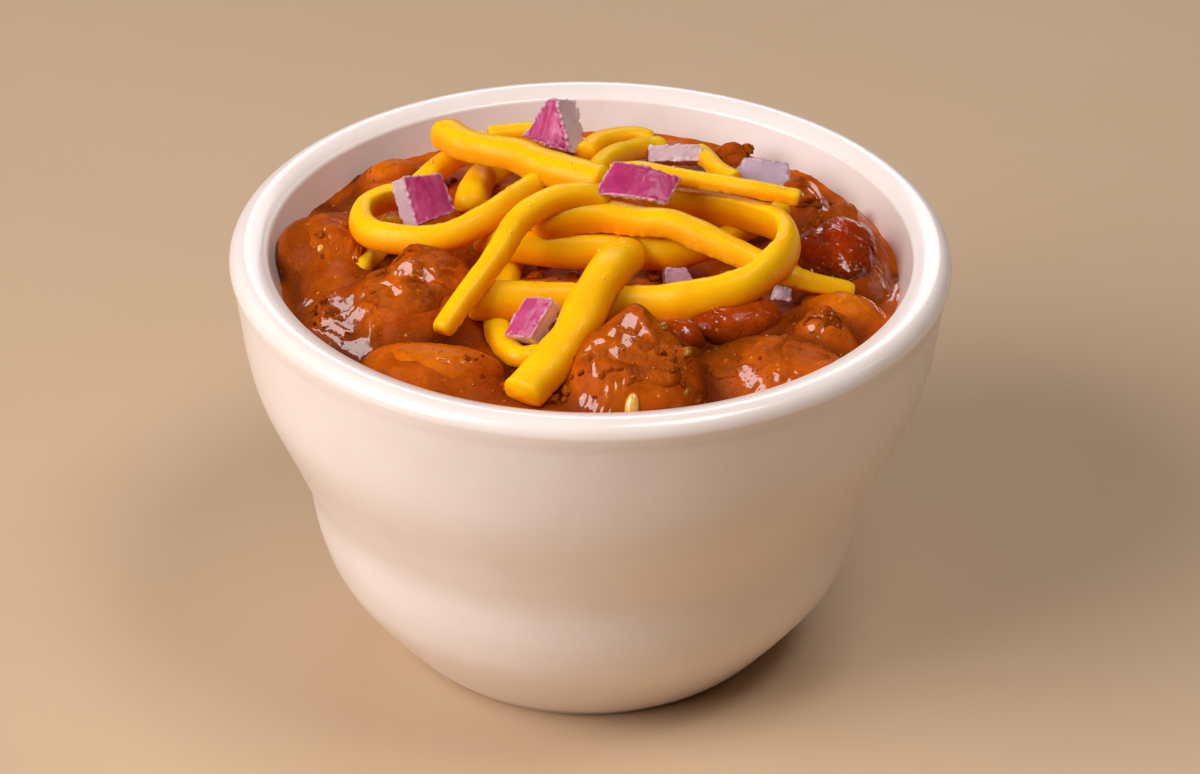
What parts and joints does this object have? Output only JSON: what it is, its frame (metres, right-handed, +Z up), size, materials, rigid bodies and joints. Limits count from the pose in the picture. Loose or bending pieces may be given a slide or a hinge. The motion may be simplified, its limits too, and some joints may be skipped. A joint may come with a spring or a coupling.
{
  "type": "chili con carne",
  "caption": "Footed ceramic bouillon cup filled to just under its rim with beef and bean chili con carne, topped with cheese strands and diced red onion.",
  "frame": {"origin": "middle of the foot ring's underside, on the surface that the cup stands on", "axes": "+Z up, out of the cup's mouth; -Y towards the viewer, +X to the viewer's right"},
  "size_m": [0.098, 0.098, 0.0711],
  "materials": {
    "bowl_glaze": "warm ivory glaze, satin gloss",
    "sauce": "thick wet chili sauce, glossy, burnt orange-brown",
    "meat": "coarse beef coated in glossy sauce",
    "bean": "smooth bean skin coated in glossy sauce",
    "tomato": "wet cooked tomato, deep red",
    "cheese": "smooth satin mild cheese, golden yellow",
    "onion": "wet raw red onion, magenta skin side and pale flesh"
  },
  "bodies": {
    "root": {"bowl": "bowl_glaze", "meat_front": "meat", "meat_left": "meat", "meat_far_left": "meat", "meat_low_left": "meat", "meat_right": "meat", "meat_edge": "meat", "meat_back": "meat", "meat_shard": "meat", "meat_far_right": "meat", "bean_front": "bean", "bean_middle": "bean", "bean_right": "bean", "bean_back": "bean", "bean_low": "bean", "tomato": "tomato", "onion_left": "onion", "onion_peak": "onion", "onion_middle": "onion", "onion_front": "onion", "onion_pale": "onion", "onion_clear": "onion", "onion_small": "onion", "onion_chip": "onion", "onion_sliver": "onion", "cheese_top": "cheese", "cheese_long_left": "cheese", "cheese_long_front": "cheese", "cheese_arch": "cheese", "cheese_back_bar": "cheese", "cheese_loop": "cheese", "cheese_hairpin": "cheese", "cheese_under_arch": "cheese", "cheese_left": "cheese", "cheese_curl": "cheese", "cheese_hook": "cheese", "cheese_inner": "cheese", "cheese_back": "cheese", "cheese_back_turn": "cheese", "cheese_far": "cheese", "cheese_scrap": "cheese", "sauce": "sauce"}
  },
  "joints": []
}
